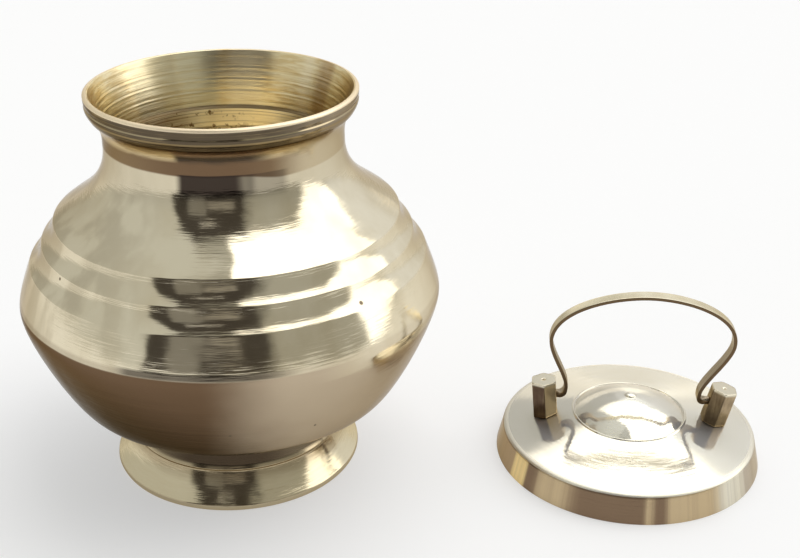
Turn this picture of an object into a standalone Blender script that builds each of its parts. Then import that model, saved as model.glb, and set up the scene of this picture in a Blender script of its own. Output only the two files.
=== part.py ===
"""Brass holy water pot, with its lid lying beside it and the lid's strip bail standing upright.

Metres, +Z up. The origin is on the table, midway along the row of pot and lid. +X runs from the pot to the lid.
"""

import math

import bmesh
import bpy

MM = 0.001

# Overall arrangement on the table
LID_SPACING = 149.6 * MM
LID_FORWARD = 2.9 * MM
BAIL_TURN = math.radians(-4.7)

# Pot: heights and radii of the stations down the outside
POT_HEIGHT = 144.1 * MM
MOUTH_RADIUS = 45.2 * MM
RIM_RADIUS = 47.2 * MM
ROLL_HEIGHT = 4.2 * MM
ROLL_GROOVE = 0.4 * MM
BEAD_HEIGHT = 3.5 * MM
BEAD_STEP = 1.3 * MM
BEAD_BULGE = 0.65 * MM
NECK_RADIUS = 41.9 * MM
NECK_Z = 125.2 * MM
SHOULDER_RADIUS = 61.3 * MM
SHOULDER_Z = 99.3 * MM
COVE_COUNT = 2
COVE_RADIUS_STEP = 4.8 * MM
COVE_HEIGHT = 7.6 * MM
COVE_DEPTH = 0.9 * MM
BELLY_RADIUS = 75.9 * MM
BELLY_Z = 68.6 * MM
BILGE_RADIUS = 59.3 * MM
BILGE_Z = 32.5 * MM
WAIST_RADIUS = 38.2 * MM
WAIST_TOP = 21.6 * MM
BOTTOM_SAG = 3.2 * MM

# Pot: inside
WALL = 2.2 * MM
BORE_RADIUS = 39.6 * MM
LEDGE_Z = 124.0 * MM
LEDGE_WIDTH = 0.8 * MM

# Foot
FOOT_RADIUS = 46.0 * MM
FOOT_SHIFT = -0.8 * MM
FOOT_LIP = 2.2 * MM
FOOT_WALL = 2.6 * MM
COLLAR_RADIUS = 39.4 * MM
COLLAR_Z = 13.1 * MM
COLLAR_HALF = 0.8 * MM

# Lid
LID_HEIGHT = 10.5 * MM
SKIRT_FLARE = 2.5 * MM
SKIRT_WALL = 0.9 * MM
LID_CLEARANCE = 0.3 * MM
LID_PLATE = 1.5 * MM
LID_LIP = 0.8 * MM
CONE_SLOPE = math.radians(13.0)
SEAT_WIDTH = 2.6 * MM
DOME_RADIUS = 20.6 * MM
DOME_HEIGHT = 7.2 * MM
RING_WIDTH = 1.0 * MM
RING_HEIGHT = 0.5 * MM
PIP_RADIUS = 2.2 * MM
PIP_HEIGHT = 0.9 * MM

# Posts and their screws
POST_OFFSET = 31.7 * MM
POST_FLATS = 9.0 * MM
POST_LENGTH = 14.4 * MM
POST_LEAN_LEFT = math.radians(5.5)
POST_LEAN_RIGHT = math.radians(12.5)
CROWN_DROP = 0.6 * MM
CROWN_SHARE = 0.55
BASE_SPARE = 1.0 * MM
CENTRE_MARK = 0.9 * MM
SCREW_RADIUS = 1.5 * MM
SCREW_REACH = 5.5 * MM
SCREW_HEAD_RADIUS = 3.2 * MM
SCREW_HEAD = 1.9 * MM
SLOT_WIDTH = 0.9 * MM
SLOT_DEPTH = 0.8 * MM

# Bail, with heights above its pivot
PIVOT_RISE = 8.9 * MM
BAIL_WIDTH = 5.2 * MM
BAIL_THICK = 1.4 * MM
BAIL_RISE = 42.9 * MM
BAIL_SKEW = 0.1
BULGE_RISE = 24.6 * MM
BULGE_OUT = 8.7 * MM
HOOK_RADIUS = 2.2 * MM
HOOK_GAP = 0.8 * MM
PIN_RADIUS = 1.5 * MM
PIN_DEPTH = 3.6 * MM
BAIL_EDGE = 0.35 * MM

# Fits
FIT = 0.3 * MM
MERGE = 0.01 * MM
TURN_STEPS = 48
SMALL_STEPS = 20

# Derived places
CONE_RISE = math.tan(CONE_SLOPE)
SKIRT_SLOPE = SKIRT_FLARE / LID_HEIGHT
LID_TOP_RADIUS = RIM_RADIUS + LID_CLEARANCE + SKIRT_WALL - SKIRT_SLOPE * (LID_PLATE + ROLL_HEIGHT / 2)
LID_BASE_RADIUS = LID_TOP_RADIUS + SKIRT_FLARE
POT_X = (BELLY_RADIUS - LID_SPACING - LID_BASE_RADIUS) / 2
LID_X = POT_X + LID_SPACING
POST_BASE_Z = LID_HEIGHT + (LID_TOP_RADIUS - POST_OFFSET) * CONE_RISE
PIVOT_Z = POST_BASE_Z + PIVOT_RISE
FACE_LEFT = POST_OFFSET + PIVOT_RISE * math.tan(POST_LEAN_LEFT) - POST_FLATS / 2 / math.cos(POST_LEAN_LEFT)
FACE_RIGHT = POST_OFFSET + PIVOT_RISE * math.tan(POST_LEAN_RIGHT) - POST_FLATS / 2 / math.cos(POST_LEAN_RIGHT)
LEG_HALF = min(FACE_LEFT, FACE_RIGHT) - HOOK_GAP - HOOK_RADIUS
PIN_END = max(FACE_LEFT, FACE_RIGHT) + PIN_DEPTH


def clear_scene():
    for obj in list(bpy.data.objects):
        bpy.data.objects.remove(obj, do_unlink=True)


def new_collection(name, parent=None):
    collection = bpy.data.collections.new(name)
    (parent or bpy.context.scene.collection).children.link(collection)
    return collection


def brass(name, colour, roughness):
    material = bpy.data.materials.new(name)
    material.use_nodes = True
    shader = material.node_tree.nodes["Principled BSDF"]
    shader.inputs["Base Color"].default_value = (*colour, 1.0)
    shader.inputs["Metallic"].default_value = 1.0
    shader.inputs["Roughness"].default_value = roughness
    return material


def empty(name, parent=None, location=(0.0, 0.0, 0.0), turn=0.0):
    obj = bpy.data.objects.new(name, None)
    parts.objects.link(obj)
    obj.parent = parent
    obj.location = location
    obj.rotation_euler.z = turn
    return obj


def place(obj, parent, location=(0.0, 0.0, 0.0), rotation=(0.0, 0.0, 0.0), material=None):
    """Puts an object under its parent. One without a material is a cutter, which is hidden."""
    for collection in list(obj.users_collection):
        collection.objects.unlink(obj)
    (parts if material else cutters).objects.link(obj)
    obj.parent = parent
    obj.location = location
    obj.rotation_euler = rotation
    if material:
        obj.data.materials.append(material)
    else:
        obj.hide_render = True
        obj.display_type = "WIRE"
    return obj


def bend(start, start_deg, end, end_deg, start_pull, end_pull, count):
    """Points of a cubic curve after its start. It leaves and arrives along the two directions, and each pull is
    the handle's length as a share of the straight distance."""
    reach = math.dist(start, end)
    a = start_pull * reach
    b = end_pull * reach
    first = (start[0] + a * math.cos(math.radians(start_deg)), start[1] + a * math.sin(math.radians(start_deg)))
    second = (end[0] - b * math.cos(math.radians(end_deg)), end[1] - b * math.sin(math.radians(end_deg)))
    points = []
    for i in range(1, count + 1):
        t = i / count
        weights = ((1 - t) ** 3, 3 * t * (1 - t) ** 2, 3 * t * t * (1 - t), t**3)
        corners = (start, first, second, end)
        points.append(tuple(sum(w * p[axis] for w, p in zip(weights, corners)) for axis in (0, 1)))
    return points


def bulge(start, end, height, count):
    """Points after the start of a half-wave between two points. A positive height swells to the left of travel."""
    reach = math.dist(start, end)
    normal = ((start[1] - end[1]) / reach, (end[0] - start[0]) / reach)
    points = []
    for i in range(1, count + 1):
        t = i / count
        swell = height * math.sin(math.pi * t)
        points.append(tuple(start[k] + (end[k] - start[k]) * t + normal[k] * swell for k in (0, 1)))
    return points


def turned(name, profile, closed=False, steps=TURN_STEPS):
    """A profile of (radius, height) points turned round Z. Its outer side runs from top to bottom."""
    mesh = bpy.data.meshes.new(name)
    edges = [(i, i + 1) for i in range(len(profile) - 1)]
    if closed:
        edges.append((len(profile) - 1, 0))
    mesh.from_pydata([(r, 0.0, z) for r, z in profile], edges, [])
    obj = bpy.data.objects.new(name, mesh)
    screw = obj.modifiers.new("Turn", "SCREW")
    screw.steps = steps
    screw.render_steps = steps
    screw.use_merge_vertices = True
    screw.merge_threshold = MERGE
    screw.use_smooth_shade = True
    return obj


def cylinder(name, radius, length, sides=SMALL_STEPS):
    """A prism along Z whose lower end is at the origin."""
    bpy.ops.mesh.primitive_cylinder_add(vertices=sides, radius=radius, depth=length)
    obj = bpy.context.object
    obj.name = name
    for vertex in obj.data.vertices:
        vertex.co.z += length / 2
    return obj


def block(name, size):
    bpy.ops.mesh.primitive_cube_add(size=1.0)
    obj = bpy.context.object
    obj.name = name
    for vertex in obj.data.vertices:
        vertex.co = [c * s for c, s in zip(vertex.co, size)]
    return obj


def combine(obj, other, operation):
    modifier = obj.modifiers.new(other.name, "BOOLEAN")
    modifier.operation = operation
    modifier.object = other


def pot_outside():
    """Down the outside: rolled rim, bead, hollow neck, shoulder, coves, belly, bilge and underside."""
    roll_top = (RIM_RADIUS - ROLL_HEIGHT / 4, POT_HEIGHT)
    roll_end = (RIM_RADIUS - ROLL_GROOVE, POT_HEIGHT - ROLL_HEIGHT)
    bead_end = (roll_end[0] - BEAD_STEP, roll_end[1] - BEAD_HEIGHT)
    points = [(MOUTH_RADIUS + FIT, POT_HEIGHT), roll_top]
    points += bend(roll_top, 0, roll_end, 200, 0.55, 0.2, 6)
    points += bulge(roll_end, bead_end, BEAD_BULGE, 5)
    neck = (NECK_RADIUS, NECK_Z)
    points += bend(bead_end, -130, neck, -90, 0.45, 0.3, 5)
    points += bend(neck, -90, (SHOULDER_RADIUS, SHOULDER_Z), -38, 0.45, 0.26, 8)
    for _ in range(COVE_COUNT):
        last = points[-1]
        points += bulge(last, (last[0] + COVE_RADIUS_STEP, last[1] - COVE_HEIGHT), -COVE_DEPTH, 4)
    belly = (BELLY_RADIUS, BELLY_Z)
    bilge = (BILGE_RADIUS, BILGE_Z)
    seat = (WAIST_RADIUS + 1.2 * MM, WAIST_TOP)
    points += bend(points[-1], -65, belly, -90, 0.38, 0.29, 6)
    points += bend(belly, -90, bilge, -135, 0.15, 0.19, 9)
    points += bend(bilge, -150, seat, -168, 0.3, 0.4, 4)
    inner_seat = (WAIST_RADIUS - FOOT_WALL * 1.8, WAIST_TOP)
    points += [inner_seat]
    points += bend(inner_seat, -160, (0.0, WAIST_TOP - BOTTOM_SAG), 180, 0.3, 0.4, 3)
    return points


def pot_inside():
    """Up the inside: bowl, rough belly, the undercut ledge below the neck, the bored neck and the flared mouth."""
    floor = (0.0, WAIST_TOP - BOTTOM_SAG + WALL)
    bilge = (BILGE_RADIUS - WALL, BILGE_Z + WALL * 0.6)
    belly = (BELLY_RADIUS - WALL, BELLY_Z)
    shoulder = (SHOULDER_RADIUS - WALL * 0.6, SHOULDER_Z - WALL * 0.8)
    ledge = (BORE_RADIUS + LEDGE_WIDTH, LEDGE_Z)
    bore = (BORE_RADIUS, LEDGE_Z)
    points = [floor]
    points += bend(floor, 0, bilge, 42, 0.45, 0.3, 5)
    points += bend(bilge, 45, belly, 90, 0.2, 0.16, 5)
    points += bend(belly, 90, shoulder, 132, 0.2, 0.3, 4)
    points += bend(shoulder, 142, ledge, 90, 0.26, 0.42, 6)
    points += [bore]
    points += bend(bore, 90, (MOUTH_RADIUS, POT_HEIGHT - FIT), 68, 0.5, 0.35, 5)
    return points


def foot_profile():
    """The flared foot as a closed ring: waist, collar and hollow flare outside, an even wall inside."""
    waist = (WAIST_RADIUS, WAIST_TOP - FIT)
    collar_top = (WAIST_RADIUS + 0.3 * MM, COLLAR_Z + 2 * COLLAR_HALF)
    collar_end = (COLLAR_RADIUS - 0.5 * MM, COLLAR_Z - COLLAR_HALF)
    lip = (FOOT_RADIUS, FOOT_LIP)
    points = [waist, collar_top]
    points += [(COLLAR_RADIUS, COLLAR_Z), collar_end]
    points += bend(collar_end, -82, lip, -38, 0.45, 0.3, 5)
    points += [(FOOT_RADIUS + 0.2 * MM, FOOT_LIP / 2), (FOOT_RADIUS - FIT, 0.0)]
    inner_lip = (FOOT_RADIUS - FOOT_WALL, 0.0)
    inner_waist = (COLLAR_RADIUS - FOOT_WALL * 1.4, COLLAR_Z)
    points += [inner_lip]
    points += bend(inner_lip, 120, inner_waist, 95, 0.35, 0.35, 4)
    points += [(WAIST_RADIUS - FOOT_WALL * 1.4, WAIST_TOP - FIT)]
    return points


def dome_height(radius):
    """Height of the dome above its own foot at a radius."""
    ball = (DOME_RADIUS**2 + DOME_HEIGHT**2) / (2 * DOME_HEIGHT)
    return math.sqrt(ball**2 - radius**2) - (ball - DOME_HEIGHT)


def cone_height(radius):
    return LID_HEIGHT + (LID_TOP_RADIUS - radius) * CONE_RISE


def lid_profile():
    """From the pip over the dome, its ring, the cone and the lip, down the skirt and back along the inside."""
    ring_end = DOME_RADIUS + RING_WIDTH
    dome_foot = cone_height(ring_end)
    pip_foot = (PIP_RADIUS, dome_foot + dome_height(PIP_RADIUS))
    points = [(0.0, pip_foot[1] + PIP_HEIGHT)]
    points += bend(points[0], 0, pip_foot, -70, 0.5, 0.3, 3)
    span = DOME_RADIUS - PIP_RADIUS
    for i in range(1, 7):
        radius = PIP_RADIUS + span * i / 6
        points.append((radius, dome_foot + dome_height(radius)))
    points += bulge(points[-1], (ring_end, dome_foot), RING_HEIGHT, 4)
    lip = (LID_TOP_RADIUS - LID_LIP, cone_height(LID_TOP_RADIUS - LID_LIP))
    points += [lip]
    points += bend(lip, -13, (LID_TOP_RADIUS + SKIRT_SLOPE * LID_LIP, LID_HEIGHT - LID_LIP), -76, 0.4, 0.4, 3)
    points += [(LID_BASE_RADIUS, 0.0), (LID_BASE_RADIUS - SKIRT_WALL, 0.0)]
    seat_z = LID_HEIGHT - LID_PLATE
    seat_radius = LID_TOP_RADIUS + SKIRT_SLOPE * LID_PLATE - SKIRT_WALL
    cone_start = seat_radius - SEAT_WIDTH
    drop = LID_PLATE / math.cos(CONE_SLOPE)
    points += [(seat_radius, seat_z), (cone_start, seat_z)]
    points += [(cone_start, cone_height(cone_start) - drop), (DOME_RADIUS, cone_height(DOME_RADIUS) - drop)]
    for i in range(4, -1, -1):
        radius = (DOME_RADIUS - LID_PLATE) * i / 5
        points.append((radius, dome_foot + dome_height(radius) - LID_PLATE))
    return points


def post_blank():
    """The turned blank that crowns a hexagonal post: a chamfered top with the lathe's centre mark."""
    corner = POST_FLATS / math.sqrt(3)
    reach = corner + FIT
    flat = POST_FLATS * CROWN_SHARE
    return [
        (0.0, POST_LENGTH - CENTRE_MARK * 0.7),
        (CENTRE_MARK, POST_LENGTH),
        (flat, POST_LENGTH),
        (reach, POST_LENGTH - CROWN_DROP),
        (reach, -2 * BASE_SPARE),
        (0.0, -2 * BASE_SPARE),
    ]


def screw_profile():
    """A pan-head screw, shank up, with the post's base plane at height zero."""
    under = -LID_PLATE - 2 * FIT
    return [
        (0.0, SCREW_REACH),
        (SCREW_RADIUS * 0.7, SCREW_REACH),
        (SCREW_RADIUS, SCREW_REACH - SCREW_RADIUS * 0.3),
        (SCREW_RADIUS, under),
        (SCREW_HEAD_RADIUS, under),
        (SCREW_HEAD_RADIUS, under - SCREW_HEAD * 0.5),
        (SCREW_HEAD_RADIUS * 0.7, under - SCREW_HEAD),
        (0.0, under - SCREW_HEAD),
    ]


def bail_line():
    """Centre line of the bail's right half from its top to the hook, as (across, height above the pivot)."""
    top = (0.0, BAIL_RISE)
    side = (LEG_HALF + BULGE_OUT, BULGE_RISE)
    leg = (LEG_HALF, HOOK_RADIUS * 1.6)
    bend_start = (LEG_HALF, HOOK_RADIUS)
    points = [top]
    points += bend(top, 0, side, -90, 0.36, 0.32, 12)
    points += bend(side, -90, leg, -90, 0.28, 0.23, 9)
    points += [bend_start]
    points += bend(bend_start, -90, (LEG_HALF + HOOK_RADIUS, 0.0), 0, 0.39, 0.39, 5)
    return points


def offset_line(points, distance):
    """The line moved sideways by a distance, to the left of travel."""
    moved = []
    for i, (x, z) in enumerate(points):
        ahead = points[min(i + 1, len(points) - 1)]
        behind = points[max(i - 1, 0)]
        reach = math.dist(ahead, behind)
        moved.append((x - distance * (ahead[1] - behind[1]) / reach, z + distance * (ahead[0] - behind[0]) / reach))
    return moved


def both_sides(points):
    """A right half and its mirror image as one line from left to right, sharing the point on the middle. The
    hand-bent bail leans to the right as it rises."""
    line = [(-x, z) for x, z in reversed(points)] + points[1:]
    return [(x + BAIL_SKEW * max(z, 0.0), z) for x, z in line]


def strip_mesh(name, outline, width):
    """A closed outline, filled and given its width, as a welded mesh."""
    curve = bpy.data.curves.new(name, "CURVE")
    curve.dimensions = "2D"
    curve.fill_mode = "BOTH"
    curve.extrude = width / 2
    spline = curve.splines.new("POLY")
    spline.points.add(len(outline) - 1)
    for point, (x, z) in zip(spline.points, outline):
        point.co = (x, z, 0.0, 1.0)
    spline.use_cyclic_u = True
    guide = bpy.data.objects.new(name + "_outline", curve)
    cutters.objects.link(guide)
    bpy.context.view_layer.update()
    graph = bpy.context.evaluated_depsgraph_get()
    mesh = bpy.data.meshes.new_from_object(guide.evaluated_get(graph))
    bpy.data.objects.remove(guide, do_unlink=True)
    work = bmesh.new()
    work.from_mesh(mesh)
    bmesh.ops.remove_doubles(work, verts=work.verts, dist=MERGE)
    for vert in work.verts:
        vert.co = (vert.co.x, -vert.co.z, vert.co.y)
    bmesh.ops.recalc_face_normals(work, faces=work.faces)
    work.to_mesh(mesh)
    work.free()
    mesh.name = name
    return mesh


def make_pot(root):
    body = turned("pot_body", pot_inside() + pot_outside())
    place(body, root, material=brass("pot_brass", (0.83, 0.74, 0.55), 0.12))
    foot = turned("foot_ring", foot_profile(), closed=True)
    place(foot, root, (FOOT_SHIFT, 0.0, 0.0), material=brass("foot_brass", (0.80, 0.72, 0.53), 0.15))


def make_lid(root, line):
    cap = turned("lid_cap", lid_profile())
    place(cap, root, material=brass("lid_brass", (0.86, 0.80, 0.64), 0.14))
    bail_hole = PIN_RADIUS + FIT
    tap = SCREW_RADIUS + FIT
    for side, name, tilt in ((-1, "left", POST_LEAN_LEFT), (1, "right", POST_LEAN_RIGHT)):
        lean = (0.0, side * tilt, 0.0)
        square = (0.0, side * CONE_SLOPE, 0.0)
        rise = math.cos(CONE_SLOPE) * FIT
        base = (side * (POST_OFFSET + math.sin(CONE_SLOPE) * FIT), 0.0, POST_BASE_Z + rise)

        post = cylinder("post_" + name, POST_FLATS / math.sqrt(3), POST_LENGTH + BASE_SPARE, sides=6)
        for vertex in post.data.vertices:
            vertex.co.z -= BASE_SPARE
        place(post, line, base, lean, brass("post_brass_" + name, (0.66, 0.55, 0.38), 0.24))
        crown = place(turned("crown_" + name, post_blank(), steps=TURN_STEPS), line, base, lean)
        combine(post, crown, "INTERSECT")
        filed = block("filed_base_" + name, (2 * POST_FLATS, 2 * POST_FLATS, POST_FLATS))
        for vertex in filed.data.vertices:
            vertex.co.z -= POST_FLATS / 2
        place(filed, line, base, square)
        combine(post, filed, "DIFFERENCE")

        bore = place(cylinder("screw_bore_" + name, tap, SCREW_REACH + POST_LENGTH / 2), line, base, square)
        for vertex in bore.data.vertices:
            vertex.co.z -= POST_LENGTH / 2 - FIT
        combine(post, bore, "DIFFERENCE")
        combine(cap, bore, "DIFFERENCE")

        eye_turn = (0.0, side * math.pi / 2, 0.0)
        eye = cylinder("bail_eye_" + name, bail_hole, PIN_END + FIT - LEG_HALF)
        place(eye, line, (side * LEG_HALF, 0.0, PIVOT_Z), eye_turn)
        combine(post, eye, "DIFFERENCE")

        screw = turned("post_screw_" + name, screw_profile(), steps=SMALL_STEPS)
        place(screw, line, base, square, brass("screw_brass_" + name, (0.62, 0.52, 0.36), 0.3))
        slot = block("slot_" + name, (3 * SCREW_HEAD_RADIUS, SLOT_WIDTH, 2 * SLOT_DEPTH))
        for vertex in slot.data.vertices:
            vertex.co.z -= LID_PLATE + 2 * FIT + SCREW_HEAD
        place(slot, line, base, square)
        combine(screw, slot, "DIFFERENCE")


def make_bail(line):
    """The strip bail with its round pins. Its origin is on the pivot axis, midway between the posts."""
    right = bail_line()
    upper = both_sides(offset_line(right, BAIL_THICK / 2))
    lower = both_sides(offset_line(right, -BAIL_THICK / 2))
    mesh = strip_mesh("bail_handle", upper + list(reversed(lower)), BAIL_WIDTH)
    bail = bpy.data.objects.new("bail_handle", mesh)
    place(bail, line, (0.0, 0.0, PIVOT_Z), material=brass("bail_brass", (0.72, 0.63, 0.45), 0.28))
    edge = bail.modifiers.new("Edge", "BEVEL")
    edge.width = BAIL_EDGE
    edge.segments = 1
    edge.limit_method = "ANGLE"
    edge.angle_limit = math.radians(50)
    for side, name in ((-1, "left"), (1, "right")):
        start = LEG_HALF + BAIL_THICK / 4
        pin = cylinder("bail_pin_" + name, PIN_RADIUS, PIN_END - start)
        place(pin, line, (side * start, 0.0, PIVOT_Z), (0.0, side * math.pi / 2, 0.0))
        combine(bail, pin, "UNION")


clear_scene()
parts = new_collection("holy_water_pot")
cutters = new_collection("cutters")
pot_root = empty("pot", location=(POT_X, 0.0, 0.0))
lid_root = empty("lid", location=(LID_X, -LID_FORWARD, 0.0))
post_line = empty("post_line", lid_root, turn=BAIL_TURN)
make_pot(pot_root)
make_lid(lid_root, post_line)
make_bail(post_line)
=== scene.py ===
"""Looks of the brass holy water pot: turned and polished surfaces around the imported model, in its frame."""

import math
from types import SimpleNamespace

import bpy
import numpy as np
from mathutils import Matrix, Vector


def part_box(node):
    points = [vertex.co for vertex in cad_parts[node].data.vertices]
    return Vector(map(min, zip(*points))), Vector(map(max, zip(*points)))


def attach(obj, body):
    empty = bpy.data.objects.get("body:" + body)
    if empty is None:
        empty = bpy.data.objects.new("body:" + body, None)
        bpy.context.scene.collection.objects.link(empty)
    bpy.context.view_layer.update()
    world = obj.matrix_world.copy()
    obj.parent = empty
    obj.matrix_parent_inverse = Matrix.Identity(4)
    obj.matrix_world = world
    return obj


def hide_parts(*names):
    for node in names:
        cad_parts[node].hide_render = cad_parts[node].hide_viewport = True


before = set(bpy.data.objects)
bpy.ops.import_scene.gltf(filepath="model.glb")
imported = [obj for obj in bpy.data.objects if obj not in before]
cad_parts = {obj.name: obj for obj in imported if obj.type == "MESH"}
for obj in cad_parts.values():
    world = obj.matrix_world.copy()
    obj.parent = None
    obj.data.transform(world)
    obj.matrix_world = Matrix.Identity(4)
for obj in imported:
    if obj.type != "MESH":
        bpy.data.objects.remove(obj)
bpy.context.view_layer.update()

MM = 0.001

# Places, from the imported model, in millimetres
pot_low, pot_high = (np.array(corner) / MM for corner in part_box("pot_body"))
foot_low, foot_high = (np.array(corner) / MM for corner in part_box("foot_ring"))
lid_low, lid_high = (np.array(corner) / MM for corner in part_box("lid_cap"))
POT_AXIS = np.array([(pot_low[0] + pot_high[0]) / 2, 0.0, 0.0])
FOOT_AXIS = np.array([(foot_low[0] + foot_high[0]) / 2, 0.0, 0.0])
LID_AXIS = np.array([(lid_low[0] + lid_high[0]) / 2, (lid_low[1] + lid_high[1]) / 2, 0.0])
BAIL_TURN = math.radians(-4.7)

# A gap or a rounding as small as the solids keep between them
FIT = 0.3

# Pot outside and inside: radii, heights and (radius, height) pairs in millimetres
POT_HEIGHT = 144.1
MOUTH_RADIUS = 45.2
RIM_RADIUS = 47.2
LIP_HEIGHT = 1.0
LIP_INSET = 0.1
LIP_NOTCH = (0.2, 0.25)
ROLL_HEIGHT = 3.6
ROLL_GROOVE = 0.6
BEAD_FACE = 1.9
BEAD_HEIGHT = 4.1
BEAD_STEP = 1.1
BEAD_PROUD = 0.15
NECK = (41.9, 125.2)
SHOULDER = (61.3, 99.3)
COVE_COUNT = 2
COVE_STEP = (4.8, -7.6)
COVE_DEPTH = 0.9
BELLY = (75.9, 68.6)
BILGE = (59.3, 32.5)
WAIST_RADIUS = 38.2
WAIST_TOP = 21.6
BOWL_OVERHANG = 1.2
BOTTOM_SAG = 3.2
WALL = 2.2
BORE_RADIUS = 39.6
LEDGE_Z = 124.0
LEDGE_WIDTH = 0.6
THROAT = (37.2, 116.5)

# Rings left in the bore: waves in radians per millimetre, with their size and shift, and their depth
BORE_RINGS = ((4.6, 1.0, 0.0), (2.9, 0.7, 1.0))
BORE_RING_DEPTH = 0.04

# Heights where the pot's finish and its painted reflections change
FLOOR_REFLECTION_Z = 70.4
NECK_REFLECTION_Z = 126.3
NECK_BAND_Z = 131.6
RIM_UNDER_Z = 136.0

# Foot
FOOT_RADIUS = 46.0
FOOT_LIP = 2.2
FOOT_LIP_ROUND = 0.2
FOOT_WALL = 2.6
FOOT_WAIST_WALL = FOOT_WALL * 1.4
BOWL_SEAT_WALL = FOOT_WALL * 1.8
WAIST_FLARE = 0.3
COLLAR_RADIUS = 39.4
COLLAR_PROUD = 0.5
COLLAR_Z = 13.1
COLLAR_HALF = 0.8

# Lid
LID_HEIGHT = 10.5
LID_BASE_RADIUS = (lid_high[0] - lid_low[0]) / 2
SKIRT_FLARE = 2.5
SKIRT_WALL = 0.9
LID_TOP_RADIUS = LID_BASE_RADIUS - SKIRT_FLARE
SKIRT_SLOPE = SKIRT_FLARE / LID_HEIGHT
LID_PLATE = 1.5
LID_LIP = 1.1
CONE_SLOPE = math.radians(13.0)
SEAT_WIDTH = 2.6
DOME_RADIUS = 20.6
DOME_HEIGHT = 7.2
RING_WIDTH = 1.0
RING_HEIGHT = 0.5
PIP_RADIUS = 2.2
PIP_HEIGHT = 0.9

# Posts, the left one as -1 and the right one as 1
POST_OFFSET = 31.7
POST_FLATS = 9.0
HEX_SHARPNESS = 44.0
POST_LENGTH = 14.4
POST_LEANS = {-1: math.radians(5.5), 1: math.radians(12.5)}
CROWN_DROP = 0.6
CROWN_FLAT = POST_FLATS * 0.55
CENTRE_MARK = 0.9
MARK_DEPTH = CENTRE_MARK * 0.7
POST_BASE_Z = LID_HEIGHT + (LID_TOP_RADIUS - POST_OFFSET) * math.tan(CONE_SLOPE)

# Painted light and shade on the posts' flats: the side that is painted lightest, and each post's least light
# and its spread
POST_LIT_SIDE = math.radians(350.0)
POST_LIGHT = {-1: (0.0, 1.0), 1: (0.42, 0.1)}

# Bail: its pivot above the foot of the posts, and its other heights above the pivot
PIVOT_RISE = 8.9
PIVOT_Z = POST_BASE_Z + PIVOT_RISE
POST_FACES = [
    POST_OFFSET + PIVOT_RISE * math.tan(lean) - POST_FLATS / 2 / math.cos(lean)
    for lean in POST_LEANS.values()
]
BAIL_WIDTH = 5.2
BAIL_THICK = 1.4
BAIL_RISE = 42.9
BAIL_SKEW = 0.1
BULGE_RISE = 24.6
BULGE_OUT = 8.7
HOOK_RADIUS = 2.2
HOOK_GAP = 0.8
LEG_HALF = min(POST_FACES) - HOOK_GAP - HOOK_RADIUS
PIN_RADIUS = 1.5
PIN_END = max(POST_FACES) + 3.6
PIN_LENGTH = 3.8
PIN_TIP = 0.6
FLATTENING = 5.0
ROUND_POWER = 2.0
OBLONG_POWER = 8.0

# Columns of a turned surface
COLUMNS = 216


# Lines and surfaces

def bend(start, start_deg, end, end_deg, start_pull, end_pull, count=60):
    """A cubic curve: it leaves start and reaches end along two directions, and each handle is as long as its
    pull times the straight distance."""
    start, end = np.array(start, float), np.array(end, float)
    reach = np.hypot(*(end - start))
    leave, arrive = np.radians(start_deg), np.radians(end_deg)
    first = start + start_pull * reach * np.array([np.cos(leave), np.sin(leave)])
    second = end - end_pull * reach * np.array([np.cos(arrive), np.sin(arrive)])
    t = np.linspace(0.0, 1.0, count)[:, None]
    return start * (1 - t) ** 3 + 3 * first * t * (1 - t) ** 2 + 3 * second * t * t * (1 - t) + end * t ** 3


def bulge(start, end, height, count=40):
    """A straight line with half a sine wave added square to it; plus swells to the left of travel."""
    start, end = np.array(start, float), np.array(end, float)
    along = end - start
    square = np.array([-along[1], along[0]]) / np.hypot(*along)
    t = np.linspace(0.0, 1.0, count)[:, None]
    return start + along * t + square * height * np.sin(np.pi * t)


def eased(points, soften, closed=False, spacing=0.08):
    """The line at an even fine spacing, each point averaged with its neighbours under a bell curve as wide as
    soften, so that its corners are rounded. The ends of an open line stay."""
    points = np.asarray(points, float)
    if closed:
        points = np.vstack([points, points[:1]])
    steps = np.hypot(*np.diff(points, axis=0).T)
    points = points[np.concatenate([[True], steps > 1e-6])]
    run = run_of(points)
    even = np.linspace(0.0, run[-1], int(run[-1] / spacing) + 2)
    line = np.column_stack([np.interp(even, run, points[:, k]) for k in (0, 1)])
    reach = int(3 * soften / spacing) + 1
    bell = np.exp(-0.5 * (np.arange(-reach, reach + 1) * spacing / soften) ** 2)
    if closed:
        line = line[:-1]
        padded = np.vstack([line[-reach:], line, line[:reach]])
    else:
        padded = np.vstack([2 * line[0] - line[reach:0:-1], line, 2 * line[-1] - line[-2:-reach - 2:-1]])
    return np.column_stack([np.convolve(padded[:, k], bell / bell.sum(), "valid") for k in (0, 1)])


def rows_on(line, count, corner):
    """Picks count points of a fine line: evenly by length plus corner millimetres for each radian of turn."""
    step = np.diff(line, axis=0)
    heading = np.unwrap(np.arctan2(step[:, 1], step[:, 0]))
    turn = np.abs(np.gradient(heading))
    share = np.concatenate([[0.0], np.cumsum(np.hypot(*step.T) + corner * turn)])
    wanted = np.linspace(0.0, share[-1], count)
    return np.column_stack([np.interp(wanted, share, line[:, k]) for k in (0, 1)])


def run_of(line):
    """Length along a line at each of its points."""
    return np.concatenate([[0.0], np.cumsum(np.hypot(*np.diff(line, axis=0).T))])


def facing_of(line):
    """How far a turned line's surface faces up: the outward share of its direction, from -1 to 1."""
    step = np.gradient(line, axis=0)
    return step[:, 0] / np.hypot(*step.T)


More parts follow.
